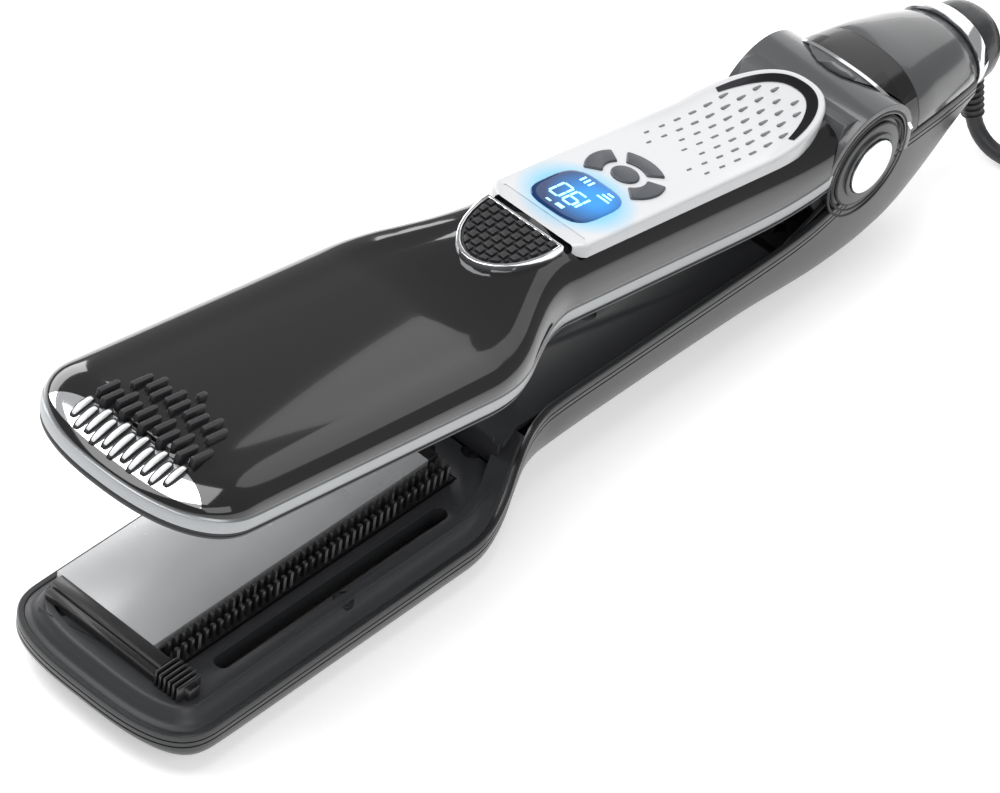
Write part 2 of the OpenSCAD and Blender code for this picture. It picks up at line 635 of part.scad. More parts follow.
lower_shell();
lower_frame();
lower_heater_plate();
lower_element();
comb_strip();
front_clamp();
rear_clamp();
steam_manifold();
steam_pipe();
steam_pump();
lower_screws();
plate_screws();
lower_deck();
lower_tip_grip();
foot_accent();
hinge_bosses();
hinge_pin();
hinge_caps();
opening_spring();
rear_collar();
tail_ring();
tail_socket();
water_tank();
tank_seal();
cord_ball();
strain_relief();
upper_cover();
side_band();
barrel();
upper_frame();
upper_heater_plate();
upper_element();
upper_screws();
tip_accent();
tip_ribs();
grip_bezel();
grip_pad();
control_panel();
display_lens();
display_module();
circuit_board();
power_button();
steam_button();
plus_button();
minus_button();
power_cord();
cord_coil();
cord_tie();
plug();
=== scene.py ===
import json
import math
import bpy
import bmesh
from mathutils import Matrix, Vector

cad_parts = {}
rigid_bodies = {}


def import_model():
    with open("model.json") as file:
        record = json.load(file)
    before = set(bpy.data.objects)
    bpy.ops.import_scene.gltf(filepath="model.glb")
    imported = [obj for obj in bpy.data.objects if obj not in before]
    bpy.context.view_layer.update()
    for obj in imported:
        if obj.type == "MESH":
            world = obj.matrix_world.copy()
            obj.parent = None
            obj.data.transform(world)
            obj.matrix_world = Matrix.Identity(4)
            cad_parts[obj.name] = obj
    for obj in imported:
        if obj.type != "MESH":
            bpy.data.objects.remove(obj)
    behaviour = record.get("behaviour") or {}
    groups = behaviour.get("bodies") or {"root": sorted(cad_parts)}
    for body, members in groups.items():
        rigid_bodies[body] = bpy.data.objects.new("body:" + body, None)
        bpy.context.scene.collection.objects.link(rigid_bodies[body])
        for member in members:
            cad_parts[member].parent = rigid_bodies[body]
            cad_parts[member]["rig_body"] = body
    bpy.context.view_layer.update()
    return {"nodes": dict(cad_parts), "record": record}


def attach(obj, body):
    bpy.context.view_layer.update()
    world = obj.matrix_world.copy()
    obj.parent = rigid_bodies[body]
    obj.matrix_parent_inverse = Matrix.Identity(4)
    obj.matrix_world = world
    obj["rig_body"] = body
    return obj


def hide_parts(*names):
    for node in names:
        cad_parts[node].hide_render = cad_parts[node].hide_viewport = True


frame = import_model()
nodes = frame["nodes"]
mm = 0.001
print("frame loaded")

# Driving sizes in millimetres, the same as in the construction
hingeX = 99.0
hingeZ = 42.0
openAngle = math.radians(10.8)
cordDia = 4.8
coilAt = (252.0, -10.0)


def opened():
    # the upper arm's turn from closed plates to the rest pose
    pivot = Vector((hingeX * mm, 0, hingeZ * mm))
    return Matrix.Translation(pivot) @ Matrix.Rotation(openAngle, 4, "Y") @ Matrix.Translation(-pivot)


# Camera, matched to the photograph
camData = bpy.data.cameras.new("photoCamera")
camData.lens = 198
camData.sensor_width = 36
camera = bpy.data.objects.new("photoCamera", camData)
bpy.context.scene.collection.objects.link(camera)
bpy.context.scene.camera = camera


def aimCamera(turn, lift, roll, focal, distance, anchorPixel, anchorPoint):
    t, e, r = (math.radians(v) for v in (turn, lift, roll))
    back = Vector((-math.sin(t) * math.cos(e), -math.cos(t) * math.cos(e), math.sin(e)))
    right = Vector((math.cos(t), -math.sin(t), 0))
    up = back.cross(right)
    sideways = math.cos(r) * right + math.sin(r) * up
    upwards = -math.sin(r) * right + math.cos(r) * up
    dx = (anchorPixel[0] - 500) / focal
    dy = -(anchorPixel[1] - 396.5) / focal
    place = Vector(anchorPoint) - distance * (dx * sideways + dy * upwards - back)
    camera.matrix_world = Matrix((
        (sideways.x, upwards.x, back.x, place.x),
        (sideways.y, upwards.y, back.y, place.y),
        (sideways.z, upwards.z, back.z, place.z),
        (0, 0, 0, 1)))


# the anchor is the heater plate's near front corner
aimCamera(54, 43, 9.3, 5500, 1340 * mm, (153.5, 645.5), (-157 * mm, -7.5 * mm, 22 * mm))
print("camera set")


# Materials: every finish is worked out by nodes from object coordinates
def makeFinish(name, base, rough, metallic=0.0, coat=0.0, grain=0.0, grainScale=900.0, vary=0.08,
               glow=None):
    mat = bpy.data.materials.new(name)
    mat.use_nodes = True
    tree = mat.node_tree
    shader = tree.nodes["Principled BSDF"]
    coords = tree.nodes.new("ShaderNodeTexCoord")
    broad = tree.nodes.new("ShaderNodeTexNoise")
    broad.inputs["Scale"].default_value = 35
    broad.inputs["Detail"].default_value = 4
    tree.links.new(coords.outputs["Object"], broad.inputs["Vector"])
    tint = tree.nodes.new("ShaderNodeMix")
    tint.data_type = "RGBA"
    tint.inputs["A"].default_value = (*[c * (1 - vary) for c in base], 1)
    tint.inputs["B"].default_value = (*[min(1, c * (1 + vary) + 0.001) for c in base], 1)
    tree.links.new(broad.outputs["Fac"], tint.inputs["Factor"])
    tree.links.new(tint.outputs["Result"], shader.inputs["Base Color"])
    spread = tree.nodes.new("ShaderNodeMapRange")
    spread.inputs["To Min"].default_value = rough * 0.88
    spread.inputs["To Max"].default_value = min(1, rough * 1.12 + 0.01)
    tree.links.new(broad.outputs["Fac"], spread.inputs["Value"])
    tree.links.new(spread.outputs["Result"], shader.inputs["Roughness"])
    shader.inputs["Metallic"].default_value = metallic
    shader.inputs["Coat Weight"].default_value = coat
    shader.inputs["Coat Roughness"].default_value = 0.03
    if grain:
        fine = tree.nodes.new("ShaderNodeTexNoise")
        fine.inputs["Scale"].default_value = grainScale
        fine.inputs["Detail"].default_value = 6
        tree.links.new(coords.outputs["Object"], fine.inputs["Vector"])
        bump = tree.nodes.new("ShaderNodeBump")
        bump.inputs["Strength"].default_value = grain
        bump.inputs["Distance"].default_value = 0.0002
        tree.links.new(fine.outputs["Fac"], bump.inputs["Height"])
        tree.links.new(bump.outputs["Normal"], shader.inputs["Normal"])
    if glow:
        shader.inputs["Emission Color"].default_value = (*glow[0], 1)
        shader.inputs["Emission Strength"].default_value = glow[1]
    return mat


def hazyRoughness(tree, shader, scale, low, high):
    # roughness that drifts a little over the surface
    coords = tree.nodes.new("ShaderNodeTexCoord")
    haze = tree.nodes.new("ShaderNodeTexNoise")
    haze.inputs["Scale"].default_value = scale
    tree.links.new(coords.outputs["Object"], haze.inputs["Vector"])
    spread = tree.nodes.new("ShaderNodeMapRange")
    spread.inputs["To Min"].default_value = low
    spread.inputs["To Max"].default_value = high
    tree.links.new(haze.outputs["Fac"], spread.inputs["Value"])
    tree.links.new(spread.outputs["Result"], shader.inputs["Roughness"])


finishes = {
    "black_gloss": makeFinish("blackGloss", (0.006, 0.006, 0.007), 0.09, coat=0.6, vary=0.2),
    "dark_shell": makeFinish("darkShell", (0.028, 0.029, 0.031), 0.34, coat=0.15, grain=0.05),
    "dark_inner": makeFinish("darkInner", (0.030, 0.031, 0.034), 0.42, grain=0.12),
    "barrel_satin": makeFinish("barrelSatin", (0.07, 0.072, 0.076), 0.24, coat=0.3, grain=0.03),
    "satin_silver": makeFinish("satinSilver", (0.34, 0.35, 0.36), 0.3, metallic=0.75, grain=0.05),
    "chrome": makeFinish("brightPlate", (0.86, 0.87, 0.89), 0.08, metallic=1.0, vary=0.02),
    "white_gloss": makeFinish("whiteGloss", (0.86, 0.87, 0.9), 0.16, coat=0.4, vary=0.02),
    "plate_coating": makeFinish("plateCoating", (0.5, 0.505, 0.515), 0.26, metallic=0.3, grain=0.04,
                                grainScale=2500),
    "heat_plastic": makeFinish("heatPlastic", (0.010, 0.010, 0.011), 0.3, coat=0.2, grain=0.06),
    "tank_smoke": makeFinish("tankSmoke", (0.075, 0.077, 0.08), 0.2, coat=0.5, vary=0.1),
    "rubber": makeFinish("rubber", (0.016, 0.016, 0.018), 0.4, grain=0.15),
    "button_grey": makeFinish("buttonGrey", (0.055, 0.06, 0.07), 0.32, grain=0.05),
    "display_blue": makeFinish("displayGlass", (0.01, 0.08, 0.3), 0.05, coat=0.3),
    "mica": makeFinish("mica", (0.6, 0.54, 0.42), 0.6, grain=0.3),
    "steel": makeFinish("steel", (0.42, 0.42, 0.44), 0.3, metallic=1.0, grain=0.1),
    "board_green": makeFinish("boardGreen", (0.02, 0.16, 0.06), 0.35, grain=0.05),
    "silicone": makeFinish("silicone", (0.5, 0.5, 0.48), 0.5, grain=0.05),
    "cord_black": makeFinish("cordJacket", (0.03, 0.031, 0.034), 0.42, grain=0.2, grainScale=1500),
    "segment": makeFinish("segment", (0.3, 0.8, 1.0), 0.4, glow=((0.4, 0.85, 1.0), 1.1)),
    "finger_white": makeFinish("fingerWhite", (0.78, 0.79, 0.81), 0.12, coat=0.6, vary=0.02),
    "dash_grey": makeFinish("dashGrey", (0.16, 0.16, 0.17), 0.4, vary=0.3),
    "painted_shade_dark": makeFinish("paintedShadeDark", (0.03, 0.03, 0.035), 0.12, metallic=0.8),
    "screw_dark": makeFinish("screwDark", (0.05, 0.05, 0.055), 0.3, metallic=0.8, grain=0.1),
    "dark_groove_and_painted_shadow": makeFinish("darkGrooveAndPaintedShadow", (0.004, 0.004, 0.004), 0.6, grain=0.05),
}
# the record's slots that the extra finishes belong to
for entry in frame["record"]["subparts"]:
    nodeMesh = nodes[entry["node"]].data
    nodeMesh.materials.clear()
    nodeMesh.materials.append(finishes[entry["material_slot"]])
print("materials made")


# Mesh helpers. All sizes go in as millimetres
def addPiece(name, verts, faces, finish, body, stands=(), isOpened=False, sharp=35, armAttribute=False):
    mesh = bpy.data.meshes.new(name)
    closedVerts = [Vector(v) for v in verts]
    turn = opened() if isOpened else Matrix.Identity(4)
    mesh.from_pydata([turn @ (v * mm) for v in closedVerts], [], faces)
    if armAttribute:
        layer = mesh.attributes.new("armPlace", "FLOAT_VECTOR", "POINT")
        layer.data.foreach_set("vector", [c for v in closedVerts for c in v])
    work = bmesh.new()
    work.from_mesh(mesh)
    bmesh.ops.remove_doubles(work, verts=work.verts, dist=0.00001)
    bmesh.ops.recalc_face_normals(work, faces=work.faces)
    work.to_mesh(mesh)
    work.free()
    obj = bpy.data.objects.new(name, mesh)
    bpy.context.scene.collection.objects.link(obj)
    mesh.materials.append(finishes[finish] if isinstance(finish, str) else finish)
    smooth(obj, sharp)
    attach(obj, body)
    if stands:
        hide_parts(*stands)
    return obj


def selectOnly(obj):
    bpy.ops.object.select_all(action="DESELECT")
    bpy.context.view_layer.objects.active = obj
    obj.select_set(True)


def smooth(obj, sharp=35):
    selectOnly(obj)
    bpy.ops.object.shade_smooth_by_angle(angle=math.radians(sharp))


def applyModifier(obj, kind, **settings):
    mod = obj.modifiers.new(kind, kind)
    for key, value in settings.items():
        setattr(mod, key, value)
    selectOnly(obj)
    bpy.ops.object.modifier_apply(modifier=mod.name)


def refine(node, name, finish, bevel=0.25, sharp=30, segments=2):
    # a merged copy of a CAD node with softened edges stands for it
    source = nodes[node]
    body = source["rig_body"]
    obj = source.copy()
    obj.data = source.data.copy()
    obj.name = name
    for key in list(obj.keys()):
        del obj[key]
    obj.parent = None
    bpy.context.scene.collection.objects.link(obj)
    work = bmesh.new()
    work.from_mesh(obj.data)
    bmesh.ops.remove_doubles(work, verts=work.verts, dist=0.000004)
    bmesh.ops.dissolve_limit(work, angle_limit=math.radians(1), verts=work.verts, edges=work.edges)
    bmesh.ops.recalc_face_normals(work, faces=work.faces)
    work.to_mesh(obj.data)
    work.free()
    if bevel:
        applyModifier(obj, "BEVEL", width=bevel * mm, segments=segments, limit_method="ANGLE",
                      angle_limit=math.radians(sharp), harden_normals=False)
    obj.data.materials.clear()
    obj.data.materials.append(finishes[finish])
    smooth(obj, sharp)
    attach(obj, body)
    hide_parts(node)
    return obj


def along(stations, x, column):
    # smooth reading of a station table at x
    rows = stations
    if x <= rows[0][0]:
        return rows[0][column]
    for i in range(len(rows) - 1):
        x0, x1 = rows[i][0], rows[i + 1][0]
        if x <= x1:
            t = (x - x0) / (x1 - x0)
            a, b = rows[i][column], rows[i + 1][column]
            before = rows[max(i - 1, 0)]
            after = rows[min(i + 2, len(rows) - 1)]
            left = (before[column] - b) / min(before[0] - x1, -1e-6)
            right = (after[column] - a) / max(after[0] - x0, 1e-6)
            flat = (b - a) / (x1 - x0)
            if left * flat <= 0:
                left = 0
            if right * flat <= 0:
                right = 0
            d = x1 - x0
            t2, t3 = t * t, t * t * t
            return ((2 * t3 - 3 * t2 + 1) * a + (t3 - 2 * t2 + t) * d * left
                    + (-2 * t3 + 3 * t2) * b + (t3 - t2) * d * right)
    return rows[-1][column]


def armPath(xFront, xRear, widthAt, noseLen=18.0, noseShape=3.0, step=2.5, noseSteps=22):
    # plan outline from the rear on the near side, round the nose, to the rear on the far side
    side = []
    x = xRear
    while x > xFront + noseLen + 0.3 * step:
        side.append((x, -widthAt(x)))
        x -= step
    nose = []
    w = widthAt(xFront + noseLen)
    for k in range(noseSteps):
        a = math.pi / 2 * k / (noseSteps - 0.5)
        e = 2 / noseShape
        nose.append((xFront + noseLen * (1 - math.sin(a) ** e), -w * math.cos(a) ** e))
    half = side + nose
    return half + [(p[0], -p[1]) for p in reversed(half)]


def insetPath(path, d):
    n = len(path)
    out = []
    for i, p in enumerate(path):
        a, b = path[max(i - 1, 0)], path[min(i + 1, n - 1)]
        tx, ty = b[0] - a[0], b[1] - a[1]
        size = math.hypot(tx, ty) or 1
        nx, ny = ty / size, -tx / size
        x, y = p[0] + nx * d, p[1] + ny * d
        if i in (0, n - 1):
            x, y = p[0], p[1] - math.copysign(d, p[1])
        if p[1] < 0:
            y = min(y, -0.02)
        else:
            y = max(y, 0.02)
        out.append((x, y))
    return out


def skinOver(path, rows, capRise=None, columns=14):
    # rows are (inset, height function); the last row is closed across by a crowned lid
    verts, faces = [], []
    n = len(path)
    rings = [[(p[0], p[1], z(p[0])) for p in insetPath(path, d)] for d, z in rows]
    for ring in rings:
        verts.extend(ring)
    for k in range(len(rings) - 1):
        for i in range(n - 1):
            a = k * n + i
            faces.append((a, a + 1, a + 1 + n, a + n))
    if capRise is not None:
        ring = rings[-1]
        base = len(verts)
        for i in range(n // 2):
            p, q = ring[i], ring[n - 1 - i]
            for j in range(columns + 1):
                u = -1 + 2 * j / columns
                y = p[1] + (q[1] - p[1]) * (u + 1) / 2
                verts.append((p[0], y, p[2] + capRise(p[0], y, abs(q[1] - p[1]) / 2, u)))
        for i in range(n // 2 - 1):
            for j in range(columns):
                a = base + i * (columns + 1) + j
                faces.append((a, a + 1, a + columns + 2, a + columns + 1))
    return verts, faces


def spin(profile, centre, axis, steps=64, start=0.0, end=360.0):
    # profile is (radius, along axis); angle 0 points along +X, or +Z for an axis along X
    axis = Vector(axis).normalized()
    side = Vector((1, 0, 0)) - axis.x * axis
    side = side.normalized() if side.length > 0.2 else Vector((0, 0, 1))
    other = axis.cross(side)
    full = end - start >= 360
    count = steps if full else steps + 1
    verts, faces = [], []
    for s in range(count):
        a = math.radians(start + (end - start) * s / steps)
        d = math.cos(a) * side + math.sin(a) * other
        for r, h in profile:
            verts.append(tuple(Vector(centre) + r * d + h * axis))
    m = len(profile)
    for s in range(steps):
        for k in range(m - 1):
            a, b = s * m + k, ((s + 1) % count) * m + k
            faces.append((a, b, b + 1, a + 1))
    return verts, faces


def joinLists(parts):
    verts, faces = [], []
    for v, f in parts:
        base = len(verts)
        verts.extend(v)
        faces.extend(tuple(i + base for i in face) for face in f)
    return verts, faces


def boxList(x0, x1, y0, y1, z0, z1):
    v = [(x, y, z) for x in (x0, x1) for y in (y0, y1) for z in (z0, z1)]
    return v, [(0, 1, 3, 2), (4, 6, 7, 5), (0, 4, 5, 1), (2, 3, 7, 6), (0, 2, 6, 4), (1, 5, 7, 3)]


# Power cord: the route's points, then the turns of the coil
route = [(169.03, -7.19, 12.39), (169.2, -8.6, 8.8), (169.6, -11.8, 5.4), (170.4, -16.5, 3.2),
         (172.4, -22, 2.5), (177, -30, 2.4), (186, -37, 2.4), (200, -41.6, 2.4), (216, -43.4, 2.4),
         (234, -42.6, 2.4)]
cordLine = list(route)
ringRadii = [6.5 * cordDia, 5.5 * cordDia, 4.5 * cordDia]
layers = 4
turn = 0.0
perTurn = 24
for level in range(layers):
    radii = ringRadii if level % 2 == 0 else ringRadii[::-1]
    for index, radius in enumerate(radii):
        for k in range(perTurn):
            share = max(0.0, (k - perTurn * 0.7) / (perTurn * 0.3))
            nextRadius = radii[index + 1] if index + 1 < len(radii) else radius
            rise = share if index + 1 == len(radii) and level + 1 < layers else 0
            a = math.radians(-90 + 360 * k / perTurn)
            r = radius + (nextRadius - radius) * share
            cordLine.append((coilAt[0] + r * math.cos(a), coilAt[1] + r * math.sin(a),
                             cordDia * (0.5 + level + rise)))
curve = bpy.data.curves.new("cordLine", "CURVE")
curve.dimensions = "3D"
spline = curve.splines.new("NURBS")
spline.points.add(len(cordLine) - 1)
for point, place in zip(spline.points, cordLine):
    point.co = (place[0] * mm, place[1] * mm, place[2] * mm, 1)
spline.order_u = 4
spline.use_endpoint_u = True
curve.bevel_depth = cordDia / 2 * mm
curve.bevel_resolution = 5
curve.resolution_u = 3
curve.use_fill_caps = True
curve.materials.append(finishes["cord_black"])
cordPiece = bpy.data.objects.new("powerCord", curve)
bpy.context.scene.collection.objects.link(cordPiece)
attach(cordPiece, "lower_arm")
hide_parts("power_cord", "cord_coil")
plugPiece = refine("plug", "wallPlug", "cord_black", 1.2, 30, 3)
tiePiece = refine("cord_tie", "cordTie", "silicone", 0.2)

# The arms' stations: x, half width, rim height, crown or floor height
lowerStations = [(-173.8, 30, 14, 5), (-168, 31.4, 14, 2.4), (-160, 32, 14, 0.6), (-148, 32, 14, 0),
                 (-66, 32, 14, 0), (-58, 31, 14.8, 0.2), (-50, 28.4, 17.8, 0.8), (-42, 24.6, 22.4, 2),
                 (-34, 21.4, 26.8, 3.4), (-25, 20, 29, 4.8), (0, 20, 29.3, 5.6), (55, 20, 29.3, 4.6),
                 (76, 20, 30, 2.4), (90, 20, 33, 0.6), (102, 20, 38, 0.02), (112, 20, 41.6, 0.8),
                 (122, 19.8, 42, 4), (134, 18.6, 40.8, 11.5), (146, 16.8, 39.2, 21.5), (154, 15.2, 38, 28)]
upperStations = [(-177.4, 30, 30, 38.4), (-176.8, 30.2, 30, 39.2), (-175.1, 30.6, 30, 40.4),
                 (-172, 31, 30, 41.6), (-167.5, 31.6, 30, 42.6), (-160, 32.2, 30, 43.6),
                 (-150, 32.3, 30, 44), (-70, 32.3, 30, 44.8), (-60, 31.4, 30.2, 46), (-52, 29, 30.8, 48),
                 (-44, 25.2, 32, 50.4), (-36, 21.8, 33.2, 52.6), (-27, 20, 34, 53.9), (0, 20, 34, 54.2),
                 (40, 20, 34, 54.2), (62, 20, 34.6, 54.4), (76, 20, 36.4, 55.6), (84, 20, 38.4, 57.6)]
# reach and roundness of the upper arm's nose in plan, and the band's edges above the rim
noseReach = 20.0
noseRound = 2.3
upperPath = armPath(-177.4, 84, lambda x: along(upperStations, x, 1), noseReach, noseRound, 2.5, 28)
lowerPath = armPath(-173.8, 154, lambda x: along(lowerStations, x, 1))
rimTop = 2.1
bandTop = 6.4


def crownRows(bottom, count=12, sign=1, stations=upperStations, reach=12.0, shape=2.4, lidDrop=1.3):
    rows = [(0, lambda x, b=bottom: along(stations, x, 2) + sign * b)]
    for k in range(1, count + 1):
        a = math.pi / 2 * k / count
        e = 2 / shape
        d = reach * (1 - math.cos(a) ** e)
        s = math.sin(a) ** e
        rows.append((d, lambda x, s=s, b=bottom: (along(stations, x, 2) + sign * b)
                     + (along(stations, x, 3) - sign * lidDrop - along(stations, x, 2) - sign * b) * s))
    return rows


def upperLid(x, y, half, u):
    return 1.3 * (1 - abs(u) ** 2.2)


# Gloss cover with the bright crescent worked out in its shader
def makeCoverFinish():
    mat = bpy.data.materials.new("coverGloss")
    mat.use_nodes = True
    tree = mat.node_tree
    shader = tree.nodes["Principled BSDF"]
    place = tree.nodes.new("ShaderNodeAttribute")
    place.attribute_name = "armPlace"
    split = tree.nodes.new("ShaderNodeSeparateXYZ")
    tree.links.new(place.outputs["Vector"], split.inputs["Vector"])

    def step(kind, a, b=None):
        node = tree.nodes.new("ShaderNodeMath")
        node.operation = kind
        for i, v in enumerate((a, b)):
            if v is None:
                continue
            if isinstance(v, (int, float)):
                node.inputs[i].default_value = v
            else:
                tree.links.new(v, node.inputs[i])
        return node.outputs[0]

    yShare = step("DIVIDE", split.outputs["Y"], 26)
    bow = step("ADD", split.outputs["X"], step("MULTIPLY", step("POWER", step("ABSOLUTE", yShare), 4), 4.5))
    behindArc = step("LESS_THAN", bow, -166.2)
    within = step("LESS_THAN", step("ABSOLUTE", split.outputs["Y"]), 26.6)
    overBand = step("GREATER_THAN", split.outputs["Z"], 38.1)
    mask = step("MULTIPLY", step("MULTIPLY", behindArc, within), overBand)
    tint = tree.nodes.new("ShaderNodeMix")
    tint.data_type = "RGBA"
    tint.inputs["A"].default_value = (0.006, 0.006, 0.007, 1)
    tint.inputs["B"].default_value = (0.82, 0.83, 0.85, 1)
    tree.links.new(mask, tint.inputs["Factor"])
    tree.links.new(tint.outputs["Result"], shader.inputs["Base Color"])
    tree.links.new(step("MULTIPLY", mask, 0.85), shader.inputs["Metallic"])
    coords = tree.nodes.new("ShaderNodeTexCoord")
    haze = tree.nodes.new("ShaderNodeTexNoise")
    haze.inputs["Scale"].default_value = 30
    tree.links.new(coords.outputs["Object"], haze.inputs["Vector"])
    polish = step("ADD", step("MULTIPLY", haze.outputs["Fac"], 0.03), 0.07)
    tree.links.new(polish, shader.inputs["Roughness"])
    shader.inputs["Coat Weight"].default_value = 0.5
    shader.inputs["Coat Roughness"].default_value = 0.02
    return mat


coverVerts, coverFaces = skinOver(upperPath, crownRows(bandTop), upperLid)
addPiece("upperCoverGloss", coverVerts, coverFaces, makeCoverFinish(), "upper_arm",
         ("upper_cover", "tip_accent"), True, 50, True)

# Side band: satin strip, a thin dark line over it and the dark ribbed rim under it
inward = 1.4
bandProfile = [(inward, bandTop - 0.1), (0.25, bandTop - 0.05), (0.1, bandTop - 0.5), (-0.3, bandTop - 0.8),
               (-0.42, bandTop - 1.4), (-0.42, rimTop + 0.6), (-0.2, rimTop + 0.1), (inward, rimTop)]
v, f = skinOver(upperPath, [(d, lambda x, z=z: along(upperStations, x, 2) + z) for d, z in bandProfile])
addPiece("sideBandSatin", v, f, "satin_silver", "upper_arm", ("side_band",), True, 40)
rimProfile = [(inward, rimTop + 0.1), (0.2, rimTop), (0.05, 1.5), (0.35, 1.3), (0.35, 1.05), (0.1, 0.85),
              (0.15, 0.3), (0.5, 0.05), (2.2, 0), (2.2, 1.2)]
v, f = skinOver(upperPath, [(d, lambda x, z=z: along(upperStations, x, 2) + z) for d, z in rimProfile])
addPiece("upperRim", v, f, "dark_inner", "upper_arm", (), True, 40)
print("upper arm skins made")

# Lower shell with the double seam line under its rim
floorDrop = 1.0
lowerRows = [(2.0, lambda x: along(lowerStations, x, 2) - 3),
             (2.0, lambda x: along(lowerStations, x, 2) - 0.4),
             (1.6, lambda x: along(lowerStations, x, 2)), (0.4, lambda x: along(lowerStations, x, 2)),
             (0.05, lambda x: along(lowerStations, x, 2) - 0.4)]
for depth, dip in ((1.9, 0), (2.0, 0.4), (2.3, 0.4), (2.4, 0), (3.6, 0.02), (3.7, 0.4), (4.0, 0.4)):
    lowerRows.append((dip, lambda x, q=depth: along(lowerStations, x, 2) - q))
lowerRows += crownRows(4.1, 14, -1, lowerStations, 12.0, 2.3, floorDrop)


def lowerLid(x, y, half, u):
    return -floorDrop * (1 - abs(u) ** 2.2)


v, f = skinOver(lowerPath, lowerRows, lowerLid)
addPiece("lowerShellSkin", v, f, "dark_shell", "lower_arm", ("lower_shell",), False, 40)


# Inner face's edge, rolling from the rim up to the frame and levelling out at the waist
def apronHeight(x, share, lift):
    fade = min(1.0, max(0.0, (-46 - x) / 16))
    fade = fade * fade * (3 - 2 * fade)
    return along(lowerStations, x, 2) + lift + 4.0 * share * fade


# rows are (inset, share of the rise, lift)
apronRows = [(1.75, 0, -0.45), (2.1, 0, -0.12), (2.9, 0.03, 0), (3.7, 0.16, 0), (4.6, 0.5, 0),
             (5.4, 0.82, 0), (6.1, 0.97, 0), (6.8, 1.01, 0), (8.4, 1.01, 0)]
apronPath = armPath(-173.8, -36, lambda x: along(lowerStations, x, 1), 18, 3.0, 2.0, 30)
v, f = skinOver(apronPath, [(d, lambda x, q=q, u=u: apronHeight(x, q, u)) for d, q, u in apronRows])
addPiece("frameApron", v, f, "dark_inner", "lower_arm", (), False, 50)
print("lower shell made")

# Inner faces and small parts keep their construction shape, with softened edges
refine("lower_frame", "lowerFrame", "dark_inner", 0.5, 30, 3)
refine("lower_deck", "handleDeck", "dark_inner", 0.3)
refine("lower_heater_plate", "heaterPlate", "plate_coating", 0.35)
refine("comb_strip", "combStrip", "heat_plastic", 0.12, 30, 1)
refine("front_clamp", "frontClamp", "heat_plastic", 0.2)
refine("rear_clamp", "rearClamp", "heat_plastic", 0.3)
refine("lower_screws", "frameScrews", "screw_dark", 0.1, 30, 1)
refine("upper_frame", "upperFrame", "dark_inner", 0.5, 30, 3)
refine("upper_heater_plate", "upperHeaterPlate", "plate_coating", 0.35)
refine("lower_tip_grip", "underTipGrip", "rubber", 0.3)
refine("foot_accent", "footAccent", "satin_silver", 0)
refine("grip_bezel", "gripBezel", "chrome", 0.2)
refine("grip_pad", "gripPad", "rubber", 0.2)
refine("barrel", "barrel", "barrel_satin", 0.4, 30, 3)
refine("hinge_bosses", "hingeBosses", "dark_shell", 0.4, 30, 3)
refine("hinge_caps", "hingeCaps", "chrome", 0.5, 30, 4)
collarSkin = refine("rear_collar", "rearCollar", "black_gloss", 0)
refine("tail_ring", "tailRing", "chrome", 0.3)
refine("tail_socket", "tailSocket", "dark_shell", 0.3)
refine("water_tank", "waterTank", "tank_smoke", 0.4)
refine("cord_ball", "cordBall", "rubber", 0)
refine("strain_relief", "strainRelief", "rubber", 0.2)
for key in ("power", "steam", "plus", "minus"):
    refine(key + "_button", key + "Key", "button_grey", 0.45, 30, 3)
print("nodes refined")


# Nose ribs: white fingers running out over the bright crescent, black bars behind them
def capsule(x0, x1, y, half, z0, z1):
    # flat-topped bar with rounded ends, narrowing to its top
    verts, faces = [], []
    n = 10
    rings = [(half, z0), (half * 0.92, z1 - 0.35), (half * 0.7, z1 - 0.08), (half * 0.3, z1)]
    for r, z in rings:
        for k in range(n + 1):
            a = math.pi / 2 + math.pi * k / n
            verts.append((x0 + half + r * math.cos(a), y + r * math.sin(a), z))
        for k in range(n + 1):
            a = -math.pi / 2 + math.pi * k / n
            verts.append((x1 - half + r * math.cos(a), y + r * math.sin(a), z))
    m = 2 * n + 2
    for level in range(len(rings) - 1):
        for k in range(m):
            a, b = level * m + k, level * m + (k + 1) % m
            faces.append((a, b, b + m, a + m))
    faces.append(tuple(range((len(rings) - 1) * m, len(rings) * m)))
    return verts, faces


def crownAt(x, y):
    # height of the closed cover's skin over a point near its middle
    return along(upperStations, x, 3) - 1.3 * (abs(y) / 20) ** 2.2


def noseHeight(x, y):
    # height of the cover's skin where it rolls over the nose
    share = min(1.0, abs(y) / 31.3)
    edge = -177.4 + noseReach * (1 - (1 - share ** noseRound) ** (1 / noseRound))
    slope = noseReach / 31.3 * share
    inset = max(0.0, (x - edge) / math.sqrt(1 + slope * slope))
    low = along(upperStations, x, 2) + bandTop
    high = along(upperStations, x, 3) - 1.3
    cosine = max(0.0, 1 - inset / 12.0) ** 1.2
    rise = (1 - cosine * cosine) ** (1 / 2.4)
    return low + (high - low) * rise + 1.2 * rise * (1 - (y / 32) ** 2), edge


def fingerBar(y, x0, x1, half, lift, sink=1.6):
    verts, faces = [], []
    steps = 12
    for k in range(steps + 1):
        t = k / steps
        x = x0 + (x1 - x0) * t
        z = noseHeight(x, y)[0]
        ends = min(1.0, 3.2 * t, 3.2 * (1 - t)) ** 0.5
        h = half * (0.55 + 0.45 * ends)
        top = z + lift * ends
        verts.extend([(x, y - h, z - sink), (x, y - h, z + (top - z) * 0.5), (x, y - h * 0.6, top),
                      (x, y + h * 0.6, top), (x, y + h, z + (top - z) * 0.5), (x, y + h, z - sink)])
    for k in range(steps):
        for j in range(6):
            a, b = 6 * k + j, 6 * k + (j + 1) % 6
            faces.append((a, b, b + 6, a + 6))
    faces.append((5, 4, 3, 2, 1, 0))
    faces.append(tuple(range(6 * steps, 6 * steps + 6)))
    return verts, faces


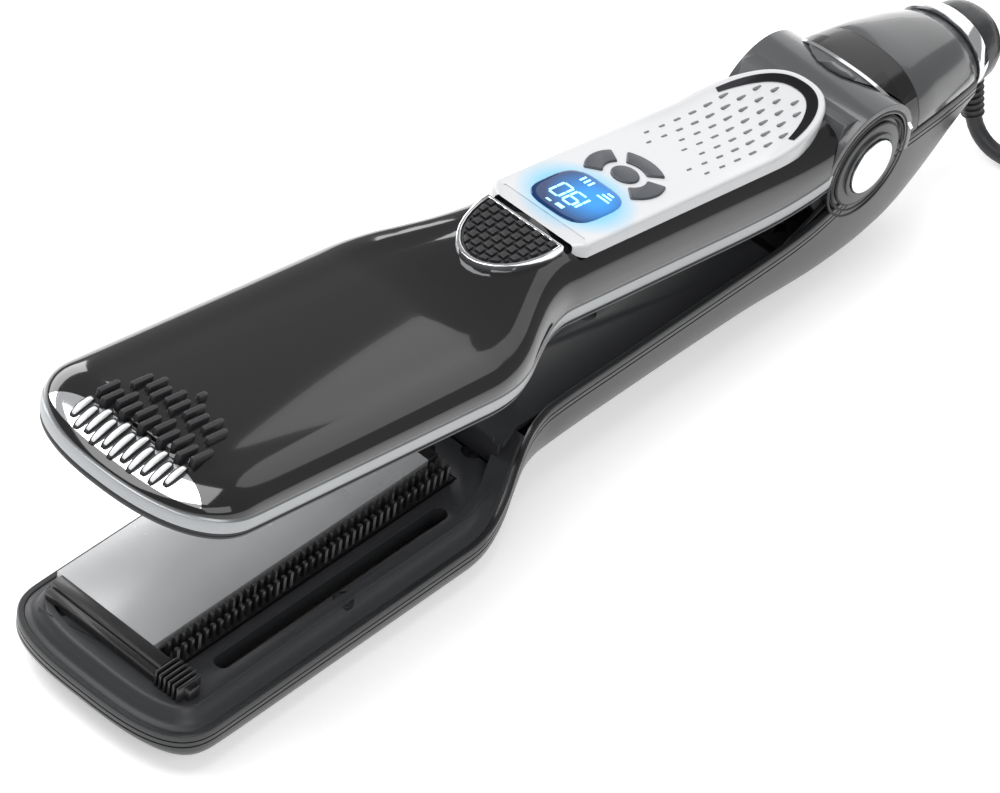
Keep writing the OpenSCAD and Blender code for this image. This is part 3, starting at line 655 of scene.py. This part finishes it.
fingers, fingerPaintedShadows, bars = [], [], []
for i in range(-5, 6):
    y = 3.1 * i
    edge = noseHeight(-170, y)[1]
    front = edge + 1.9 + (1.0 if i % 2 else 0)
    rear = -168.2 + (1.6 if i % 2 else 0)
    fingers.append(fingerBar(y, front, rear, 0.78, 0.8))
    # a near-black strip, a little wider than the finger and lying under it, is the finger's painted shadow
    fingerPaintedShadows.append(fingerBar(y + 0.12, front - 0.3, rear + 0.5, 1.06, 0.16))
    fieldRear = -143.6 - 0.036 * y * y
    x = rear + (1.5 if i % 2 else 1.2)
    while x < fieldRear - 3:
        end = min(x + 7.6, fieldRear)
        top = crownAt(x + 3, y)
        bars.append(capsule(x, end, y, 0.95, top - 1.5, top + 1.4))
        x = end + 2.4
v, f = joinLists(fingers)
addPiece("tipFingers", v, f, "finger_white", "upper_arm", ("tip_ribs",), True, 40)
# the fingers' painted shadows
v, f = joinLists(fingerPaintedShadows)
addPiece("tipFingerPaintedShadows", v, f, "dark_groove_and_painted_shadow", "upper_arm", (), True, 40)
v, f = joinLists(bars)
addPiece("tipBars", v, f, "rubber", "upper_arm", (), True, 40)
print("nose ribs made")

# Control panel: white cap with a rim round the dished thumb rest, with the display's blue glow painted into
# its colour
def makePanelFinish():
    mat = bpy.data.materials.new("panelWhitePaintedGlow")
    mat.use_nodes = True
    tree = mat.node_tree
    shader = tree.nodes["Principled BSDF"]
    place = tree.nodes.new("ShaderNodeAttribute")
    place.attribute_name = "armPlace"
    shift = tree.nodes.new("ShaderNodeMapping")
    shift.inputs["Location"].default_value = (0.39, 0.0, -3.0)
    shift.inputs["Scale"].default_value = (0.055, 0.055, 0.0545)
    tree.links.new(place.outputs["Vector"], shift.inputs["Vector"])
    paintedGlow = tree.nodes.new("ShaderNodeTexGradient")
    paintedGlow.gradient_type = "SPHERICAL"
    tree.links.new(shift.outputs["Vector"], paintedGlow.inputs["Vector"])
    # painted glow: the cap's colour runs from white far from the lens to blue close to it
    ramp = tree.nodes.new("ShaderNodeValToRGB")
    ramp.color_ramp.elements[0].color = (0.6, 0.605, 0.62, 1)
    ramp.color_ramp.elements[0].position = 0.08
    ramp.color_ramp.elements[1].color = (0.2, 0.52, 0.72, 1)
    ramp.color_ramp.elements[1].position = 0.42
    tree.links.new(paintedGlow.outputs["Fac"], ramp.inputs["Fac"])
    hazyRoughness(tree, shader, 40, 0.14, 0.22)
    tree.links.new(ramp.outputs["Color"], shader.inputs["Base Color"])
    shader.inputs["Coat Weight"].default_value = 0.3
    return mat


panelFront = -23.8
panelRear = 90.0
restReach = 33.0
restHalf = 16.4


def panelWidth(u):
    # u runs forwards from the panel's rear end
    return restHalf - max(0.0, (u - 21.0)) ** 2 * 0.4


def panelTop(x):
    if x < 54:
        return 55.2
    return 55.2 + 5.2 * ((x - 54) / 36) ** 1.4


def dish(x):
    # depth of the thumb rest along its length
    t = min(1.0, max(0.0, (x - 26) / 20))
    return 0.55 * t * t * (3 - 2 * t)


def panelDrop(x):
    # rounded front edge
    near = max(0.0, panelFront + 1.0 - x)
    return 1.2 * near * near


panelPath = armPath(-panelRear, -panelFront, panelWidth, restReach, 2.35, 1.3, 34)
panelRows = [(0, lambda x: 51.5), (0, lambda x: panelTop(-x) - 0.9 - panelDrop(-x)),
             (0.2, lambda x: panelTop(-x) - 0.35 - panelDrop(-x)),
             (0.7, lambda x: panelTop(-x) - panelDrop(-x)),
             (1.5, lambda x: panelTop(-x) + 0.05 - panelDrop(-x)),
             (2.1, lambda x: panelTop(-x) - 0.02 - panelDrop(-x) - 0.2 * dish(-x)),
             (3.4, lambda x: panelTop(-x) - panelDrop(-x) - 0.75 * dish(-x))]


def panelLid(x, y, half, u):
    # the floor of the rest sags a little towards its middle
    return -0.25 * dish(-x) * (1 - u * u)


v, f = skinOver(panelPath, panelRows, panelLid, 12)
v = [(-p[0], p[1], p[2]) for p in v]
panelSkin = addPiece("controlPanel", v, f, makePanelFinish(), "upper_arm", ("control_panel",),
                     True, 40, True)


def restHeight(x):
    return panelTop(x) - dish(x) * 0.97


# dark crescent painted as the shade in the thumb rest's rear end, and the short dashes on its floor
crescent = []
faces = []
count = 40
for k in range(count + 1):
    a = math.radians(-74 + 148 * k / count)
    wide = 3.4 * max(0.02, math.cos(a)) ** 0.6
    for inner, lift in ((2.2, 0.06), (2.2 + wide * 0.5, 0.05), (2.2 + wide, 0.05)):
        x = panelRear - restReach + (restReach - inner) * math.cos(a) ** 0.85
        y = (restHalf - inner) * math.copysign(abs(math.sin(a)) ** 0.85, a)
        depth = min(1.0, (inner - 2.0) / 1.5)
        crescent.append((x, y, panelTop(x) - dish(x) * (0.2 + 0.55 * depth) + lift + 0.12))
for k in range(count):
    for j in (0, 1):
        a = 3 * k + j
        faces.append((a, a + 1, a + 4, a + 3))
# the crescent is a dark sheet laid on the dish as painted shade
addPiece("restPaintedShadeCrescent", crescent, faces, "painted_shade_dark", "upper_arm", (), True, 60)
dashes = []
for row in range(8):
    for lane in range(-3, 4):
        x = 31 + 6.6 * row + (3.3 if lane % 2 else 0)
        y = 3.5 * lane
        if x > 84 - 0.11 * y * y or (row < 1 and abs(lane) < 2):
            continue
        size = 0.5 + 0.5 * min(1, row / 5)
        dashes.append(capsule(x - 2.1 * size, x + 2.1 * size, y, 0.52 * size + 0.06, restHeight(x) - 0.5,
                              restHeight(x) + 0.16 + 0.05 * abs(lane)))
v, f = joinLists(dashes)
addPiece("restDashes", v, f, "dash_grey", "upper_arm", (), True, 40)


# Display: rounded lens with a blue glow, plain digits and marks in lighter bars
def makeDisplayFinish():
    mat = bpy.data.materials.new("displayGlow")
    mat.use_nodes = True
    tree = mat.node_tree
    shader = tree.nodes["Principled BSDF"]
    place = tree.nodes.new("ShaderNodeAttribute")
    place.attribute_name = "armPlace"
    shift = tree.nodes.new("ShaderNodeMapping")
    shift.inputs["Location"].default_value = (0.32, 0.25, -3.68)
    shift.inputs["Scale"].default_value = (0.075, 0.08, 0.067)
    tree.links.new(place.outputs["Vector"], shift.inputs["Vector"])
    ball = tree.nodes.new("ShaderNodeTexGradient")
    ball.gradient_type = "SPHERICAL"
    tree.links.new(shift.outputs["Vector"], ball.inputs["Vector"])
    ramp = tree.nodes.new("ShaderNodeValToRGB")
    ramp.color_ramp.elements[0].color = (0.0, 0.016, 0.07, 1)
    ramp.color_ramp.elements[1].color = (0.0, 0.17, 0.5, 1)
    ramp.color_ramp.elements[1].position = 0.75
    tree.links.new(ball.outputs["Fac"], ramp.inputs["Fac"])
    hazyRoughness(tree, shader, 60, 0.03, 0.07)
    tree.links.new(ramp.outputs["Color"], shader.inputs["Base Color"])
    tree.links.new(ramp.outputs["Color"], shader.inputs["Emission Color"])
    shader.inputs["Emission Strength"].default_value = 0.75
    return mat


lensCentre = (-7.2, 0.2)


def lensOutline(ax, ay, n=56, e=3.4):
    points = []
    for k in range(n):
        a = 2 * math.pi * k / n
        c, q = math.cos(a), math.sin(a)
        points.append((lensCentre[0] + ax * math.copysign(abs(c) ** (2 / e), c),
                       lensCentre[1] + ay * math.copysign(abs(q) ** (2 / e), q)))
    return points


def lensDisc(rings):
    verts, faces = [], []
    for ax, ay, z in rings:
        verts.extend((x, y, z) for x, y in lensOutline(ax, ay))
    n = 56
    for level in range(len(rings) - 1):
        for k in range(n):
            a, b = level * n + k, level * n + (k + 1) % n
            faces.append((a, b, b + n, a + n))
    faces.append(tuple(range((len(rings) - 1) * n, len(rings) * n)))
    return verts, faces


v, f = lensDisc([(11.2, 9.7, 54.8), (11.2, 9.7, 55.3), (10.9, 9.4, 55.46), (10, 8.6, 55.54), (6, 5, 55.56)])
lens = addPiece("displayLens", v, f, makeDisplayFinish(), "upper_arm", ("display_lens",), True, 40, True)
segments = {"top": (0, 0, 1), "middle": (1, 0, 1), "bottom": (2, 0, 1), "leftUp": (0, 0, 0),
            "rightUp": (0, 1, 0), "leftDown": (1, 0, 0), "rightDown": (1, 1, 0)}
digitShapes = {"1": ("rightUp", "rightDown"),
               "9": ("top", "middle", "bottom", "leftUp", "rightUp", "rightDown"),
               "0": ("top", "bottom", "leftUp", "rightUp", "leftDown", "rightDown")}
strokes = []
lensTop = 55.62
for sign, y0 in (("1", -6.4), ("9", -2.1), ("0", 2.4)):
    # digits stand with their tops to the nose and are read towards the far side
    for key in digitShapes[sign]:
        level, side, flat = segments[key]
        if flat:
            x = -12.2 + 3.3 * level
            strokes.append((x - 0.32, x + 0.32, y0 + 0.3, y0 + 2.9, lensTop - 0.2, lensTop + 0.1))
        else:
            x = -12.2 + 3.3 * level
            y = y0 + 3.2 * side
            strokes.append((x + 0.35, x + 3.15, y - 0.32, y + 0.32, lensTop - 0.2, lensTop + 0.1))
for k in range(3):
    strokes.append((-0.9, 1.7, 1.2 + 1.4 * k, 1.8 + 1.4 * k, lensTop - 0.2, lensTop + 0.08))
for k in range(3):
    strokes.append((-2.4 + 1.6 * k, -1.8 + 1.6 * k, -6.6 + 0.5 * k, -2.6 - 0.5 * k, lensTop - 0.2,
                    lensTop + 0.08))
strokes += [(-15.6, -14.2, -1.8, 0.6, lensTop - 0.25, lensTop + 0.04),
            (-15.8, -15.1, 2, 3.6, lensTop - 0.3, lensTop + 0.04)]
v, f = joinLists([boxList(*b) for b in strokes])
addPiece("displaySegments", v, f, "segment", "upper_arm", (), True, 40)
print("panel and display made")

# Collar: the barrel's grey runs on to the bright trim, black behind it
def makeCollarFinish():
    mat = bpy.data.materials.new("collarTwoTone")
    mat.use_nodes = True
    tree = mat.node_tree
    shader = tree.nodes["Principled BSDF"]
    coords = tree.nodes.new("ShaderNodeTexCoord")
    split = tree.nodes.new("ShaderNodeSeparateXYZ")
    tree.links.new(coords.outputs["Object"], split.inputs["Vector"])
    tilt = tree.nodes.new("ShaderNodeMath")
    tilt.operation = "MULTIPLY_ADD"
    tilt.inputs[1].default_value = 0.62
    tree.links.new(split.outputs["Z"], tilt.inputs[0])
    tree.links.new(split.outputs["X"], tilt.inputs[2])
    ahead = tree.nodes.new("ShaderNodeMath")
    ahead.operation = "LESS_THAN"
    ahead.inputs[1].default_value = 0.1068 + 0.62 * 0.061
    tree.links.new(tilt.outputs[0], ahead.inputs[0])
    tone = tree.nodes.new("ShaderNodeMix")
    tone.data_type = "RGBA"
    tone.inputs["A"].default_value = (0.008, 0.008, 0.009, 1)
    tone.inputs["B"].default_value = (0.1, 0.102, 0.106, 1)
    tree.links.new(ahead.outputs[0], tone.inputs["Factor"])
    tree.links.new(tone.outputs["Result"], shader.inputs["Base Color"])
    hazyRoughness(tree, shader, 30, 0.12, 0.2)
    return mat


collarSkin.data.materials[0] = makeCollarFinish()
collarStations = [(96, 20, 42, 60.6), (106, 20, 42, 61), (114, 20, 42.2, 60.6), (120.6, 19.5, 42.4, 59.6)]
trimVerts, trimFaces = [], []
trimSteps = 48
trimProfile = [(-0.75, -0.3), (-0.6, 0.42), (0.6, 0.42), (0.75, -0.3)]
for k in range(trimSteps + 1):
    a = math.radians(4 + 172 * k / trimSteps)
    c, q = math.cos(a), math.sin(a)
    for shift, lift in trimProfile:
        x = 106.6
        for again in range(3):
            high = along(collarStations, x, 3)
            low = along(collarStations, x, 2)
            z = low + (high - low + lift) * q ** 0.77
            x = 106.8 + (61 - z) * 0.62 + shift
        y = (along(collarStations, x, 1) + lift) * math.copysign(abs(c) ** 0.77, c)
        trimVerts.append((x, y, z))
for k in range(trimSteps):
    for j in range(3):
        a = 4 * k + j
        trimFaces.append((a, a + 1, a + 5, a + 4))
addPiece("barrelTrim", trimVerts, trimFaces, "chrome", "lower_arm", (), False, 40)

# Step rings round the hinge caps
ringParts = []
for sign in (-1, 1):
    for radius in (12.2, 14.0, 15.8):
        ringProfile = [(radius, 19.9), (radius + 0.2, 20.12), (radius + 0.7, 20.12), (radius + 0.9, 19.9)]
        ringParts.append(spin(ringProfile, (hingeX, 0, hingeZ), (0, sign, 0), 72))
v, f = joinLists(ringParts)
addPiece("hingeSteps", v, f, "dark_groove_and_painted_shadow", "lower_arm", (), False, 40)
print("trims made")

# Stage: white floor, soft lights
bpy.ops.mesh.primitive_plane_add(size=6, location=(0, 0, 0))
floor = bpy.context.active_object
floor.name = "floor"
floorMat = makeFinish("floorPaper", (0.9, 0.9, 0.9), 0.9, vary=0.0)
floor.data.materials.append(floorMat)
# the floor looks paper white to the camera and in reflections, and keeps its shadows
floorTree = floorMat.node_tree
floorShader = floorTree.nodes["Principled BSDF"]
lightPath = floorTree.nodes.new("ShaderNodeLightPath")
seen = floorTree.nodes.new("ShaderNodeMath")
seen.operation = "ADD"
floorTree.links.new(lightPath.outputs["Is Camera Ray"], seen.inputs[0])
floorTree.links.new(lightPath.outputs["Is Glossy Ray"], seen.inputs[1])
lift = floorTree.nodes.new("ShaderNodeMath")
lift.operation = "MULTIPLY"
lift.inputs[1].default_value = 0.42
floorTree.links.new(seen.outputs[0], lift.inputs[0])
floorTree.links.new(lift.outputs[0], floorShader.inputs["Emission Strength"])
floorShader.inputs["Emission Color"].default_value = (1, 1, 1, 1)


def areaLight(name, place, target, size, power, tall=None):
    data = bpy.data.lights.new(name, "AREA")
    data.shape = "RECTANGLE"
    data.size = size
    data.size_y = tall or size
    data.energy = power
    light = bpy.data.objects.new(name, data)
    bpy.context.scene.collection.objects.link(light)
    light.location = place
    light.rotation_euler = (Vector(target) - Vector(place)).to_track_quat("-Z", "Y").to_euler()
    return light


areaLight("topSoft", (-0.2, 0.3, 1.2), (0, 0, 0), 1.0, 13)
areaLight("farStrip", (0.2, 1.1, 0.55), (-0.02, 0, 0.05), 1.2, 8, 0.5)
areaLight("nearFill", (-0.5, -1.0, 0.9), (0, 0, 0), 0.9, 5)

# a soft card whose edge runs across the gloss cover's reflection
sight = Vector((0.801, 0.430, 0.416)).normalized()
flat = Vector((-sight.y, sight.x, 0)).normalized()
rise = sight.cross(flat)
cardSide = (-0.926 * flat - 0.384 * rise).normalized()
centre = Vector((-0.1, 0, 0.07)) + sight + 0.3 * cardSide
card = areaLight("coverCard", (0, 0, 0), (0, 0, -1), 0.6, 2.2, 1.3)
cardAxes = (cardSide, sight.cross(cardSide), sight)
cardRows = [[cardAxes[c][r] for c in range(3)] + [centre[r]] for r in range(3)]
card.matrix_world = Matrix(cardRows + [[0, 0, 0, 1]])
world = bpy.data.worlds.new("studio")
bpy.context.scene.world = world
world.use_nodes = True
worldTree = world.node_tree
worldTree.nodes["Background"].inputs["Color"].default_value = (1, 1, 1, 1)
worldTree.nodes["Background"].inputs["Strength"].default_value = 0.34

scene = bpy.context.scene
scene.render.resolution_x = 1000
scene.render.resolution_y = 793
scene.view_settings.view_transform = "Standard"
